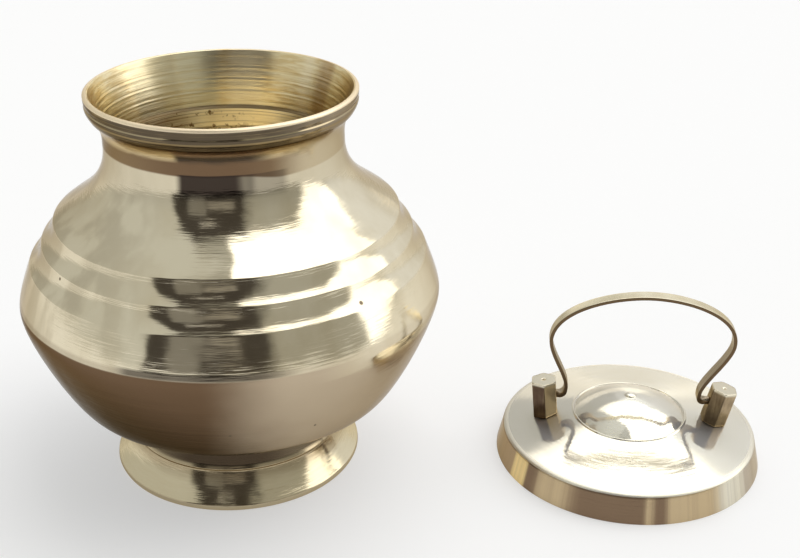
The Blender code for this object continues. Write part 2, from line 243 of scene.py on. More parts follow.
def skin(name, grid, notes, closed=False):
    """A surface through a grid of points in millimetres, rows by columns. The columns close on themselves,
    and so do the rows of a closed one; a row that is one point becomes a pole. notes are values per row or
    per point."""
    rows, columns = grid.shape[:2]
    flat = np.ptp(grid, axis=1).max(axis=1) < 1e-7
    number = np.arange(rows * columns).reshape(rows, columns)
    number[flat] = number[flat, :1]
    kept, index = np.unique(number, return_inverse=True)
    index = index.reshape(rows, columns)
    upper = index if closed else index[:-1]
    lower = np.roll(index, -1, axis=0) if closed else index[1:]
    corners = np.stack([upper, lower, np.roll(lower, -1, 1), np.roll(upper, -1, 1)], axis=-1).reshape(-1, 4)
    points = grid.reshape(-1, 3)[kept] * MM
    a, b, c, d = (points[corners[:, k]] for k in range(4))
    volume = (np.einsum("ij,ij->i", a, np.cross(b, c)) + np.einsum("ij,ij->i", a, np.cross(c, d))).sum()
    if volume < 0:
        corners = corners[:, ::-1]
    whole = (corners != np.roll(corners, -1, axis=1)).all(axis=1)
    faces = corners[whole].tolist()
    for short in corners[~whole].tolist():
        faces.append(list(dict.fromkeys(short)))
    mesh = bpy.data.meshes.new(name)
    mesh.from_pydata(points, [], faces)
    mesh.polygons.foreach_set("use_smooth", np.ones(len(mesh.polygons), bool))
    for key, value in notes.items():
        value = np.asarray(value, float)
        value = np.broadcast_to(value[:, None] if value.ndim == 1 else value, (rows, columns))
        mesh.attributes.new(key, "FLOAT", "POINT").data.foreach_set("value", value.reshape(-1)[kept].copy())
    mesh.validate()
    piece = bpy.data.objects.new(name, mesh)
    bpy.context.scene.collection.objects.link(piece)
    return piece


def turned(name, line, axis, columns, notes, closed=False):
    """A line of (radius, height) turned about an upright axis: x and y are radius times cosine and sine."""
    angle = np.linspace(0.0, 2 * np.pi, columns, endpoint=False)
    radius = np.maximum(line[:, :1], 0.0)
    height = np.broadcast_to(line[:, 1:], (len(line), columns))
    grid = np.stack([radius * np.cos(angle), radius * np.sin(angle), height], -1)
    return skin(name, grid + axis, {"along": run_of(line) * MM, **notes}, closed)


def fitted(piece, body, nodes, finish):
    """Hangs a piece on its body in place of its solids and its finish."""
    piece.data.materials.append(finish)
    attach(piece, body)
    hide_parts(*nodes)


# Shapes of the pieces

def pot_inside_line():
    """Up the inside from the middle of the bowl, through the throat and over the ledge to the mouth. The
    bored neck carries shallow rings left by the tool: two sines of the height, fading out at both ends."""
    floor = (0.0, WAIST_TOP - BOTTOM_SAG + WALL)
    bilge = (BILGE[0] - WALL, BILGE[1] + WALL * 0.6)
    belly = (BELLY[0] - WALL, BELLY[1])
    shoulder = (SHOULDER[0] - WALL * 0.6, SHOULDER[1] - WALL * 0.8)
    mouth = bend((BORE_RADIUS, LEDGE_Z), 80, (MOUTH_RADIUS, POT_HEIGHT - FIT), 70, 0.4, 0.35, count=500)
    depth = BORE_RING_DEPTH * np.sin(np.pi * np.linspace(0.0, 1.0, len(mouth))) ** 0.5
    mouth[:, 0] += depth * sum(size * np.sin(wave * mouth[:, 1] + shift) for wave, size, shift in BORE_RINGS)
    parts = [bend(floor, 0, bilge, 42, 0.45, 0.3), bend(bilge, 45, belly, 90, 0.2, 0.16)]
    parts += [bend(belly, 90, shoulder, 132, 0.2, 0.3), bend(shoulder, 142, THROAT, 105, 0.26, 0.3)]
    parts += [[(BORE_RADIUS - LEDGE_WIDTH, LEDGE_Z - LEDGE_WIDTH)], mouth]
    return np.vstack(parts)


def pot_outside_line():
    """Over the rolled rim and its bead, down neck, coves and belly to the middle of the underside."""
    lip_end = (RIM_RADIUS - LIP_INSET, POT_HEIGHT - LIP_HEIGHT)
    roll_start = (lip_end[0] - LIP_NOTCH[0], lip_end[1] - LIP_NOTCH[1])
    roll_end = (RIM_RADIUS - ROLL_GROOVE, POT_HEIGHT - ROLL_HEIGHT)
    bead_edge = (roll_end[0] + BEAD_PROUD, roll_end[1] - BEAD_FACE)
    bead_end = (roll_end[0] - BEAD_STEP, roll_end[1] - BEAD_HEIGHT)
    parts = [bend((MOUTH_RADIUS + FIT, POT_HEIGHT), 0, lip_end, -105, 0.5, 0.45)]
    parts += [bend(roll_start, -60, roll_end, -110, 0.4, 0.3)]
    parts += [bend(roll_end, -12, bead_edge, -100, 0.4, 0.35)]
    parts += [bend(bead_edge, -122, bead_end, -128, 0.3, 0.3)]
    parts += [bend(bead_end, -140, NECK, -90, 0.45, 0.3), bend(NECK, -90, SHOULDER, -38, 0.45, 0.26)]
    last = np.array(SHOULDER)
    for _ in range(COVE_COUNT):
        parts += [bulge(last, last + COVE_STEP, -COVE_DEPTH)]
        last = last + COVE_STEP
    seat = (WAIST_RADIUS + BOWL_OVERHANG, WAIST_TOP)
    inner_seat = (WAIST_RADIUS - BOWL_SEAT_WALL, WAIST_TOP)
    parts += [bend(last, -68, BELLY, -90, 0.45, 0.15), bend(BELLY, -90, BILGE, -135, 0.15, 0.19)]
    parts += [bend(BILGE, -150, seat, -168, 0.3, 0.4)]
    parts += [bend(inner_seat, -160, (0.0, WAIST_TOP - BOTTOM_SAG), 180, 0.3, 0.4)]
    return np.vstack(parts)


def foot_line():
    """The foot as a closed ring: waist, collar and hollow flare outside, and inside a wall that is
    thicker at the waist."""
    waist = [(WAIST_RADIUS, WAIST_TOP - FIT), (WAIST_RADIUS + WAIST_FLARE, COLLAR_Z + 2 * COLLAR_HALF)]
    collar_end = (COLLAR_RADIUS - COLLAR_PROUD, COLLAR_Z - COLLAR_HALF)
    inner_lip = (FOOT_RADIUS - FOOT_WALL, 0.0)
    inner_waist = (COLLAR_RADIUS - FOOT_WAIST_WALL, COLLAR_Z)
    parts = [waist, [(COLLAR_RADIUS, COLLAR_Z)]]
    parts += [bend(collar_end, -70, (FOOT_RADIUS, FOOT_LIP), -44, 0.4, 0.35)]
    parts += [[(FOOT_RADIUS + FOOT_LIP_ROUND, FOOT_LIP / 2), (FOOT_RADIUS - FIT, 0.0)]]
    parts += [bend(inner_lip, 120, inner_waist, 95, 0.35, 0.35)]
    parts += [[(WAIST_RADIUS - FOOT_WAIST_WALL, WAIST_TOP - FIT)]]
    return np.vstack(parts)


def dome_height(radius):
    """Height of a round cap above its foot, from the ball through its top and its foot."""
    ball = (DOME_RADIUS ** 2 + DOME_HEIGHT ** 2) / (2 * DOME_HEIGHT)
    return np.sqrt(ball ** 2 - radius ** 2) - (ball - DOME_HEIGHT)


def cone_height(radius):
    """Height of the lid's cone: it rises evenly from the lip to the middle."""
    return LID_HEIGHT + (LID_TOP_RADIUS - radius) * math.tan(CONE_SLOPE)


def lid_line():
    """From the pip over the dome, its ring, the cone and the lip, down the skirt and back underneath."""
    ring_end = DOME_RADIUS + RING_WIDTH
    dome_foot = cone_height(ring_end)
    pip_foot = (PIP_RADIUS, dome_foot + dome_height(PIP_RADIUS))
    dome = np.linspace(PIP_RADIUS, DOME_RADIUS, 80)
    lip = (LID_TOP_RADIUS - LID_LIP, cone_height(LID_TOP_RADIUS - LID_LIP))
    lip_end = (LID_TOP_RADIUS + SKIRT_SLOPE * LID_LIP, LID_HEIGHT - LID_LIP)
    seat_z = LID_HEIGHT - LID_PLATE
    seat_radius = LID_TOP_RADIUS + SKIRT_SLOPE * LID_PLATE - SKIRT_WALL
    cone_start = seat_radius - SEAT_WIDTH
    drop = LID_PLATE / math.cos(CONE_SLOPE)
    under = np.linspace(DOME_RADIUS - LID_PLATE, 0.0, 60)
    parts = [bend((0.0, pip_foot[1] + PIP_HEIGHT), 0, pip_foot, -70, 0.5, 0.3)]
    parts += [np.column_stack([dome, dome_foot + dome_height(dome)])]
    parts += [bulge((DOME_RADIUS, dome_foot), (ring_end, dome_foot), RING_HEIGHT)]
    parts += [bend(lip, -13, lip_end, -76, 0.4, 0.4)]
    parts += [[(LID_BASE_RADIUS, 0.0), (LID_BASE_RADIUS - SKIRT_WALL, 0.0)]]
    parts += [[(seat_radius, seat_z), (cone_start, seat_z), (cone_start, cone_height(cone_start) - drop)]]
    parts += [[(DOME_RADIUS, cone_height(DOME_RADIUS) - drop)]]
    parts += [np.column_stack([under, dome_foot + dome_height(under) - LID_PLATE])]
    return np.vstack(parts)


def on_post_line(points):
    """Turns points about the lid's axis by the bail's turn and moves them to the lid."""
    cosine, sine = math.cos(BAIL_TURN), math.sin(BAIL_TURN)
    turn = np.array([[cosine, sine, 0.0], [-sine, cosine, 0.0], [0.0, 0.0, 1.0]])
    return points @ turn + LID_AXIS


def post_rows():
    """A post's rows from the middle of its base, up the shaft and over the crown, to the bottom of its centre
    mark: the share of the full width and the height of each."""
    base = np.linspace(0.0, 1.0, 5)
    shaft = np.linspace(0.0, POST_LENGTH - CROWN_DROP, 24)[1:]
    crown = np.linspace(POST_LENGTH - CROWN_DROP, POST_LENGTH, 14)[1:]
    top = np.linspace(1.0, CENTRE_MARK / CROWN_FLAT, 10)[1:]
    mark = np.linspace(CENTRE_MARK / CROWN_FLAT, 0.0, 6)[1:]
    shrink = np.concatenate([base, np.ones(len(shaft) + len(crown)), top, mark])
    sink = np.concatenate([np.zeros(len(top)), MARK_DEPTH * np.linspace(0.0, 1.0, 6)[1:]])
    height = np.concatenate([np.zeros(len(base)), shaft, crown, POST_LENGTH - sink])
    return shrink, height


def post(name, side):
    """A hexagon bar: its radius is the half width over the power sum of its three flats' cosines, cut by a
    cone at the crown. It shrinks to a point at the base, which is filed to the lid's slope, and down the
    centre mark."""
    angle = np.linspace(0.0, 2 * np.pi, 180, endpoint=False)
    flats = np.abs(np.cos(angle[:, None] - np.radians([0.0, 60.0, 120.0]))) ** HEX_SHARPNESS
    hexagon = POST_FLATS / 2 * flats.sum(axis=1) ** (-1 / HEX_SHARPNESS)
    shrink, height = post_rows()
    below_top = POST_LENGTH - np.minimum(height, POST_LENGTH)
    cone = CROWN_FLAT + below_top * (POST_FLATS / math.sqrt(3) + FIT - CROWN_FLAT) / CROWN_DROP
    cone = np.where(shrink < 1, np.where(height > 1, CROWN_FLAT, POST_FLATS), cone)[:, None]
    radius = shrink[:, None] * (hexagon ** -HEX_SHARPNESS + cone ** -HEX_SHARPNESS) ** (-1 / HEX_SHARPNESS)
    lean = side * POST_LEANS[side]
    filed = np.clip(1 - height / (POST_LENGTH / 2), 0.0, 1.0)[:, None]
    filed = filed * math.tan(CONE_SLOPE - POST_LEANS[side])
    upright = height[:, None] - filed * side * radius * np.cos(angle)
    across = radius * np.cos(angle) * math.cos(lean) + upright * math.sin(lean)
    rise = upright * math.cos(lean) - radius * np.cos(angle) * math.sin(lean)
    foot_out = side * (POST_OFFSET + math.sin(CONE_SLOPE) * FIT)
    foot = np.array([foot_out, 0.0, POST_BASE_Z + math.cos(CONE_SLOPE) * FIT])
    grid = np.stack([across, radius * np.sin(angle), rise], -1) + foot
    crowned = np.clip((height - (POST_LENGTH - CROWN_DROP - 0.3)) / 0.4, 0, 1)
    # Each flat is painted lighter or darker by the way it faces, as painted light and shade
    flat = np.radians(60.0) * np.round(angle / np.radians(60.0))
    least, spread = POST_LIGHT[side]
    face_light = least + spread * (0.5 + 0.5 * np.cos(flat - POST_LIT_SIDE))
    return skin(name, on_post_line(grid), {"crown": crowned, "face_light": np.tile(face_light, (len(height), 1))})


def bail_line():
    """Centre line from the left pin over the top to the right pin, across and above the pivot. It leans to
    the right as it rises."""
    side = (LEG_HALF + BULGE_OUT, BULGE_RISE)
    leg = (LEG_HALF, HOOK_RADIUS * 1.6)
    hook = (LEG_HALF, HOOK_RADIUS)
    half = [bend((0.0, BAIL_RISE), 0, side, -90, 0.36, 0.32), bend(side, -90, leg, -90, 0.28, 0.23)]
    half += [bend(hook, -90, (LEG_HALF + HOOK_RADIUS, 0.0), 0, 0.39, 0.39), [(PIN_END, 0.0)]]
    right = np.vstack(half)
    line = np.vstack([right[::-1] * (-1, 1), right[1:]])
    line[:, 0] += BAIL_SKEW * np.maximum(line[:, 1], 0.0)
    return eased(line, soften=0.3)


def bail_strip(name):
    """A rounded oblong carried along the bail's line: a power curve whose power falls from oblong to round as
    the strip runs into its pins, and whose size falls to nothing over the rounded tips."""
    line = rows_on(bail_line(), count=420, corner=3.0)
    run = run_of(line)
    tip = np.minimum(run, run[-1] - run)
    t = np.clip((tip - PIN_LENGTH) / FLATTENING, 0.0, 1.0)
    flat = (t * t * (3 - 2 * t))[:, None]
    angle = np.linspace(0.0, 2 * np.pi, 64, endpoint=False)
    power = 2.0 / (ROUND_POWER + (OBLONG_POWER - ROUND_POWER) * flat)
    wide = PIN_RADIUS + (BAIL_WIDTH / 2 - PIN_RADIUS) * flat
    thick = PIN_RADIUS + (BAIL_THICK / 2 - PIN_RADIUS) * flat
    cap = np.sqrt(1.0 - (1.0 - np.clip(tip / PIN_TIP, 0.0, 1.0)) ** 2)[:, None]
    a = np.sign(np.cos(angle)) * np.abs(np.cos(angle)) ** power * wide * cap
    b = np.sign(np.sin(angle)) * np.abs(np.sin(angle)) ** power * thick * cap
    heading = np.gradient(line, axis=0)
    heading /= np.hypot(*heading.T)[:, None]
    grid = np.stack([line[:, :1] - b * heading[:, 1:], a, line[:, 1:] + b * heading[:, :1] + PIVOT_Z], -1)
    rim = np.abs(a) / np.maximum(wide * cap, 1e-6)
    return skin(name, on_post_line(grid), {"along": run * MM, "across": a * MM, "rim": rim})


# Finishes

class Value:
    """A number, colour or vector inside a recipe. Arithmetic on it adds Math nodes."""

    def __init__(self, recipe, socket):
        self.recipe = recipe
        self.socket = socket

    def out(self, name):
        """Another output of the same node."""
        return Value(self.recipe, self.socket.node.outputs[name])

    def __add__(self, other):
        return self.recipe.math("ADD", self, other)

    def __radd__(self, other):
        return self.recipe.math("ADD", other, self)

    def __sub__(self, other):
        return self.recipe.math("SUBTRACT", self, other)

    def __rsub__(self, other):
        return self.recipe.math("SUBTRACT", other, self)

    def __mul__(self, other):
        return self.recipe.math("MULTIPLY", self, other)

    def __rmul__(self, other):
        return self.recipe.math("MULTIPLY", other, self)

    def __truediv__(self, other):
        return self.recipe.math("DIVIDE", self, other)

    def __rtruediv__(self, other):
        return self.recipe.math("DIVIDE", other, self)


class Recipe:
    """A node tree and the few kinds of node that the finishes are made of."""

    def __init__(self, tree):
        self.tree = tree
        self.tree.nodes.clear()

    def node(self, kind, settings=None, inputs=None, output=0):
        """Adds a node: its settings first, then the values or links of its sockets. Gives one of its outputs,
        or nothing where it has none."""
        made = self.tree.nodes.new(kind)
        for key, value in (settings or {}).items():
            setattr(made, key, value)
        for key, value in (inputs or {}).items():
            if isinstance(value, Value):
                self.tree.links.new(value.socket, made.inputs[key])
            else:
                made.inputs[key].default_value = value
        return Value(self, made.outputs[output]) if made.outputs else None

    def math(self, operation, *values):
        return self.node("ShaderNodeMath", {"operation": operation}, dict(enumerate(values)))

    def place(self, axis):
        """The piece's own coordinates, in metres, measured from an axis given in millimetres."""
        here = self.node("ShaderNodeTexCoord", output="Object")
        shift = tuple(float(-c * MM) for c in axis)
        return self.node("ShaderNodeMapping", inputs={"Vector": here, "Location": shift})

    def parts(self, vector):
        """The three numbers of a vector."""
        x = self.node("ShaderNodeSeparateXYZ", inputs={0: vector})
        return x, x.out("Y"), x.out("Z")

    def bearing(self, x, ahead):
        """Angle in degrees between straight ahead and a point that lies ahead and x to the right."""
        return self.math("ARCTAN2", x, ahead) * (180 / math.pi)

    def note(self, name):
        """A value that the piece keeps on its points."""
        return self.node("ShaderNodeAttribute", {"attribute_name": name}, output="Fac")

    def cloud(self, place, scale, detail=2.0):
        """Noise in space."""
        settings = {"noise_dimensions": "3D"}
        inputs = {"Vector": place, "Scale": scale, "Detail": detail, "Roughness": 0.5}
        return self.node("ShaderNodeTexNoise", settings, inputs)

    def lines(self, run, count, detail=2.0):
        """Uneven tool lines across a length, about count for each unit of it."""
        settings = {"noise_dimensions": "1D"}
        inputs = {"W": run * count, "Scale": 1.0, "Detail": detail, "Roughness": 0.6}
        return self.node("ShaderNodeTexNoise", settings, inputs)

    def swept(self, place, along, round_count, per_metre):
        """Uneven marks that run round the axis: noise on the direction from the axis and the length along."""
        flat = self.node("ShaderNodeVectorMath", {"operation": "MULTIPLY"}, {0: place, 1: (1.0, 1.0, 0.0)})
        way = self.node("ShaderNodeVectorMath", {"operation": "NORMALIZE"}, {0: flat})
        x, y, _ = self.parts(way)
        inputs = {"X": x * round_count, "Y": y * round_count, "Z": along * per_metre}
        return self.cloud(self.node("ShaderNodeCombineXYZ", inputs=inputs), 1.0)

    def stretched(self, place, scale, shape):
        """Noise whose patches are stretched along the axes by shape."""
        squeeze = tuple(1.0 / c for c in shape)
        squeezed = self.node("ShaderNodeMapping", inputs={"Vector": place, "Scale": squeeze})
        return self.cloud(squeezed, scale, 3.0)

    def step(self, value, none, full):
        """A smooth step from 0 where the value is none to 1 where it is full, whichever of them is higher."""
        inputs = {"Value": value, "From Min": none, "From Max": full}
        return self.node("ShaderNodeMapRange", {"interpolation_type": "SMOOTHSTEP"}, inputs)

    def between(self, value, start, full, fade, end):
        """A share that grows from start to full and falls from fade to end."""
        return self.step(value, start, full) * self.step(value, end, fade)

    def mix(self, share, first, second):
        """Colour that goes from first to second with share."""
        inputs = {0: share, 6: first, 7: second}
        return self.node("ShaderNodeMix", {"data_type": "RGBA"}, inputs, output=2)

    def away(self, place, point):
        """Distance in millimetres from a point given in millimetres."""
        inputs = {0: place, 1: tuple(float(c * MM) for c in point)}
        return self.node("ShaderNodeVectorMath", {"operation": "DISTANCE"}, inputs, output="Value") / MM

    def bump(self, height, depth):
        """A relief as deep as depth, in micrometres."""
        inputs = {"Height": height, "Strength": 1.0, "Distance": depth * 1e-6}
        return self.node("ShaderNodeBump", inputs=inputs)


def rgb(red, green, blue):
    return (red, green, blue, 1.0)


# Tint of the gloss where a surface turns away, and the soft sheen of hazed polish
RIM_TINT = rgb(0.78, 0.70, 0.56)
POT_RIM_TINT = rgb(0.62, 0.56, 0.48)
HAZE = {"Coat Roughness": 0.6, "Coat IOR": 2.9}
TOOL_GRAIN = 0.5
LID_GRAIN = 0.3


def brass(name, paint, grain=0.0, rim_tint=RIM_TINT):
    """A metal finish. paint gets the recipe and gives colour, roughness, normal and haze, a soft sheen over
    the mirror; grain stretches the gloss across the tool lines, and rim_tint colours it where the surface
    turns away."""
    material = bpy.data.materials.new(name)
    material.use_nodes = True
    recipe = Recipe(material.node_tree)
    colour, roughness, normal, haze = paint(recipe)
    inputs = {"Base Color": colour, "Metallic": 1.0, "Roughness": roughness, "Normal": normal}
    inputs.update({"Anisotropic": grain, "Anisotropic Rotation": 0.25, "Specular Tint": rim_tint})
    inputs.update({"Coat Weight": haze, **HAZE})
    shader = recipe.node("ShaderNodeBsdfPrincipled", inputs=inputs)
    recipe.node("ShaderNodeOutputMaterial", inputs={"Surface": shader})
    return material


POLISHED = rgb(0.80, 0.72, 0.54)
POLISHED_WARM = rgb(0.68, 0.59, 0.41)
# Polish painted darker as shade, on the left and below the neck
POLISHED_SHADED = rgb(0.56, 0.495, 0.36)
# Painted reflection of the floor below the belly line: its brown, its painted shadow and its lit part
FLOOR_REFLECTION_BROWN = rgb(0.155, 0.097, 0.056)
FLOOR_REFLECTION_SHADOW = rgb(0.030, 0.020, 0.014)
FLOOR_REFLECTION_LIT = rgb(0.53, 0.435, 0.31)
# A dark painted reflection, on the front of the belly line and below the neck
DARK_REFLECTION = rgb(0.042, 0.03, 0.024)
# Painted reflections on the neck: the floor's brown, the shoulder's gold, a dark front and a lit right side
NECK_BROWN = rgb(0.158, 0.094, 0.051)
NECK_TAN = rgb(0.235, 0.16, 0.085)
NECK_GOLD = rgb(0.88, 0.71, 0.41)
NECK_DARK = rgb(0.36, 0.25, 0.17)
NECK_SHADE = rgb(0.068, 0.05, 0.036)
NECK_PALE = rgb(0.54, 0.45, 0.30)
# Rim: the floor's painted reflection on its sides, gold for gilt lines and painted highlights, and a worn lip
# painted bright as a highlight
RIM_BROWN = rgb(0.08, 0.058, 0.036)
RIM_GOLD = rgb(0.34, 0.25, 0.12)
LIP_WEAR_AND_HIGHLIGHT = rgb(1.0, 0.86, 0.63)
# The bore's polish, and the painted reflections and highlights round it
BORE = rgb(0.94, 0.82, 0.53)
BORE_BROWN = rgb(0.78, 0.61, 0.32)
BORE_PALE = rgb(0.74, 0.70, 0.50)
BORE_GREY = rgb(0.60, 0.54, 0.36)
BORE_DARK = rgb(0.44, 0.28, 0.14)
BORE_HIGHLIGHT = rgb(0.99, 0.88, 0.62)
CAST = rgb(1.0, 0.85, 0.53)
# Dark specks of the cast throat, and its painted shade at the sides and on the ledge
CAST_SPECK_AND_SHADE = rgb(0.22, 0.14, 0.06)
PIT = rgb(0.15, 0.118, 0.08)

# Where a painted reflection, shade or highlight of the pot starts, is full, fades and ends, in degrees round
# from the front to the right
FRONT = (-16.0, -12.0, 12.0, 22.0)
BELLY_DARK_REFLECTION_FRONT = (-24.0, -20.0, 14.0, 26.0)
NECK_FRONT = (-16.0, -12.0, 18.0, 32.0)
NECK_LOW_FRONT = (-52.0, -8.0, 12.0, 46.0)
NECK_DIP_SIDE = (14.0, 34.0, 110.0, 170.0)
NECK_PALE_SIDE = (26.0, 50.0, 110.0, 170.0)
DARK_REFLECTION_SIDE = (15.0, 19.0, 33.0, 38.0)
PAINTED_HIGHLIGHT_SIDE = (26.0, 48.0, 58.0, 95.0)
SHADED_SIDE = (-170.0, -110.0, -40.0, -12.0)

# Painted reflections and highlights round the bore: start and end, in degrees round from the back to the
# right
BORE_REFLECTIONS = (
    (-56.0, -30.0, BORE_GREY), (-30.0, -10.0, BORE_PALE), (-4.0, 14.0, BORE_HIGHLIGHT),
    (36.0, 43.0, BORE_HIGHLIGHT), (46.0, 56.0, BORE_DARK), (70.0, 88.0, BORE_BROWN),
)
BORE_REFLECTION_EDGE = 3.0

# Small casting pits: degrees round from the front, height and radius in millimetres
PITS = ((44.8, 85.6, 0.55), (-50.4, 90.4, 0.4), (5.0, 45.1, 0.35), (30.0, 43.7, 0.35))
PIT_EDGE = 1.7


def pot_spot(recipe):
    """What the pot's finishes share: where a point lies, in millimetres and degrees, and the noises that mark
    the metal and break the edges of its tones."""
    spot = SimpleNamespace(place=recipe.place(POT_AXIS))
    x, y, z = recipe.parts(spot.place)
    spot.across, spot.height = x / MM, z / MM
    spot.along, spot.inside, spot.facing = (recipe.note(name) for name in ("along", "inside", "facing"))
    spot.outside = 1 - spot.inside
    spot.cloud = recipe.cloud(spot.place, 34.0, 3.0)
    spot.waves = recipe.cloud(spot.place, 70.0, 1.0)
    spot.smear = recipe.stretched(spot.place, 75.0, (1.0, 1.0, 3.0))
    spot.swept = recipe.swept(spot.place, spot.along, 6.0, 950.0)
    spot.fine = recipe.lines(spot.along, 2400.0)
    spot.broad = recipe.lines(spot.along, 420.0)
    spot.edge = spot.height + (spot.cloud - 0.5) * 0.8
    spot.turn = recipe.bearing(x, 0.0 - y)
    spot.around = spot.turn + 5 * (spot.smear - 0.5)
    spot.around_back = recipe.bearing(x, y) + 6 * (spot.smear - 0.5)
    spot.front = recipe.between(spot.around, *FRONT)
    return spot


def belly_coat(recipe, spot):
    """Polish, painted darker on the left and below the neck as shade, and below the belly line a brown
    painted reflection of the floor, darker to the lower left as its painted shadow, paler to the right as
    painted light and broken there by a painted highlight; at the front of that line a dark painted
    reflection. Gives the colour and the painted reflection's share."""
    warm = recipe.step(0.45 * spot.cloud + 0.55 * spot.smear, 0.38, 0.68)
    bright = recipe.mix(warm, POLISHED, POLISHED_WARM)
    # Painted shade on the left side, in patches
    left_shade = 0.1 + 0.6 * recipe.step(spot.smear, 0.42, 0.58)
    bright = recipe.mix(recipe.between(spot.turn, *SHADED_SIDE) * left_shade, bright, POLISHED_SHADED)
    ragged = spot.height + 3 * (spot.cloud - 0.5)
    # Painted shade below the neck
    below_neck = recipe.step(ragged, NECK_REFLECTION_Z - 13.0, NECK_REFLECTION_Z - 7.0)
    bright = recipe.mix(0.6 * below_neck, bright, POLISHED_SHADED)
    # Below the belly line a painted reflection of the floor: darker to the lower left as painted shadow,
    # paler to the right as painted light, broken by a painted highlight
    deep = recipe.step(spot.height + 9 * spot.broad + 0.28 * spot.across, 66.0, 24.0)
    pale = recipe.step(spot.across + 14 * (spot.cloud - 0.5), -4.0, 30.0)
    brown = recipe.mix(deep, FLOOR_REFLECTION_BROWN, FLOOR_REFLECTION_SHADOW)
    brown = recipe.mix(0.92 * pale, brown, FLOOR_REFLECTION_LIT)
    painted_dark_lifted = recipe.step(spot.edge + 2 * (spot.swept - 0.5), FLOOR_REFLECTION_Z - 6.5, FLOOR_REFLECTION_Z - 4.5)
    painted_dark_lifted = painted_dark_lifted * recipe.between(spot.around, *PAINTED_HIGHLIGHT_SIDE)
    below = recipe.step(spot.edge, FLOOR_REFLECTION_Z + 0.4, FLOOR_REFLECTION_Z - 0.4) * (1 - 0.8 * painted_dark_lifted)
    verge = 0.3 * recipe.step(spot.edge, FLOOR_REFLECTION_Z + 2.5, FLOOR_REFLECTION_Z + 1.0)
    floor_reflection = spot.outside * recipe.math("MAXIMUM", below, verge)
    colour = recipe.mix(floor_reflection, bright, brown)
    # A dark painted reflection on the front of the belly line
    dark_reflection = recipe.between(spot.edge, FLOOR_REFLECTION_Z - 0.4, FLOOR_REFLECTION_Z, FLOOR_REFLECTION_Z + 1.6, FLOOR_REFLECTION_Z + 2.6)
    dark_reflection = dark_reflection * (1 - below) * recipe.between(spot.around, *BELLY_DARK_REFLECTION_FRONT) * spot.outside
    return recipe.mix(0.75 * dark_reflection, colour, DARK_REFLECTION), floor_reflection


def neck_coat(recipe, spot, colour):
    """A brown band round the neck, the floor's painted reflection, with the shoulder's gold reflection
    painted above it, darker in front and paler on the right as painted shade and light, and on the front
    below it a dark painted reflection. Gives the colour and the share of the neck."""
    # The band and the gold above it are painted reflections, darker in front and paler on the right as
    # painted shade and light
    dip = 1.8 * recipe.between(spot.around, *NECK_DIP_SIDE)
    neck = recipe.step(spot.edge + dip, NECK_REFLECTION_Z - 0.4, NECK_REFLECTION_Z + 0.4)
    neck = neck * recipe.step(spot.height, RIM_UNDER_Z + 0.3, RIM_UNDER_Z - 0.4) * spot.outside
    low = recipe.mix(recipe.between(spot.around, *NECK_LOW_FRONT), NECK_TAN, NECK_BROWN)
    front = recipe.mix(recipe.step(spot.height, NECK_BAND_Z + 1.4, NECK_BAND_Z + 3.2), NECK_SHADE, NECK_DARK)
    gold = recipe.mix(0.7 * spot.swept, NECK_GOLD, NECK_TAN)
    high = recipe.mix(recipe.between(spot.around, *NECK_FRONT), gold, front)
    above_band = recipe.step(spot.edge + 2 * (spot.swept - 0.5), NECK_BAND_Z - 1.2, NECK_BAND_Z + 1.0)
    tone = recipe.mix(above_band, low, high)
    tone = recipe.mix(recipe.between(spot.around, *NECK_PALE_SIDE), tone, NECK_PALE)
    colour = recipe.mix(0.97 * neck, colour, tone)
    # A dark painted reflection on the front below the neck's band
    dark_reflection = recipe.step(spot.height, NECK_REFLECTION_Z - 8.4, NECK_REFLECTION_Z - 5.2)
    dark_reflection = dark_reflection * recipe.step(spot.edge, NECK_REFLECTION_Z + 0.8, NECK_REFLECTION_Z + 0.4) * spot.outside
    dark_reflection = dark_reflection * (0.98 * spot.front + 0.45 * recipe.between(spot.around, *DARK_REFLECTION_SIDE))
    return recipe.mix(dark_reflection, colour, DARK_REFLECTION), neck


def rim_coat(recipe, spot, colour):
    """Brown on the sides of the roll and the bead as a painted reflection of the floor, paler to the right as
    painted light, with gilt lines; gold as painted highlights on the faces that look up and along the bead's
    edge, and a worn lip painted bright as a highlight. Gives the colour and the share of the lip."""
    # Painted reflection of the floor in brown on the rim's sides, paler to the right as painted light
    side = recipe.step(spot.height, RIM_UNDER_Z - 0.4, RIM_UNDER_Z + 0.3)
    side = side * recipe.step(spot.facing, 0.5, 0.15) * spot.outside
    gilt = recipe.step(0.6 * spot.fine + 0.4 * spot.swept, 0.5, 0.72) * (1 - 0.75 * spot.front)
    brown = recipe.mix(gilt, RIM_BROWN, RIM_GOLD)
    brown = recipe.mix(0.45 * recipe.step(spot.across, 18.0, 46.0), brown, FLOOR_REFLECTION_LIT)
    colour = recipe.mix(0.95 * side, colour, brown)
    # Painted highlights in gold on the faces that look up and along the bead's edge
    up_facing_highlight = recipe.step(spot.height, RIM_UNDER_Z, RIM_UNDER_Z + 0.5)
    up_facing_highlight = up_facing_highlight * recipe.step(spot.facing, 0.15, 0.5) * spot.outside
    colour = recipe.mix(0.65 * up_facing_highlight, colour, RIM_GOLD)
    from_edge = recipe.math("ABSOLUTE", spot.height - (POT_HEIGHT - ROLL_HEIGHT - BEAD_FACE + 0.1))
    colour = recipe.mix(0.55 * spot.outside * recipe.step(from_edge, 0.5, 0.2), colour, RIM_GOLD)
    # The worn lip, painted bright as a highlight as well
    lip_end = POT_HEIGHT - LIP_HEIGHT
    lip = spot.outside * recipe.step(spot.height, lip_end - 0.3, lip_end + 0.2)
    return recipe.mix(lip, colour, recipe.mix(0.15 * spot.fine, LIP_WEAR_AND_HIGHLIGHT, RIM_GOLD)), lip


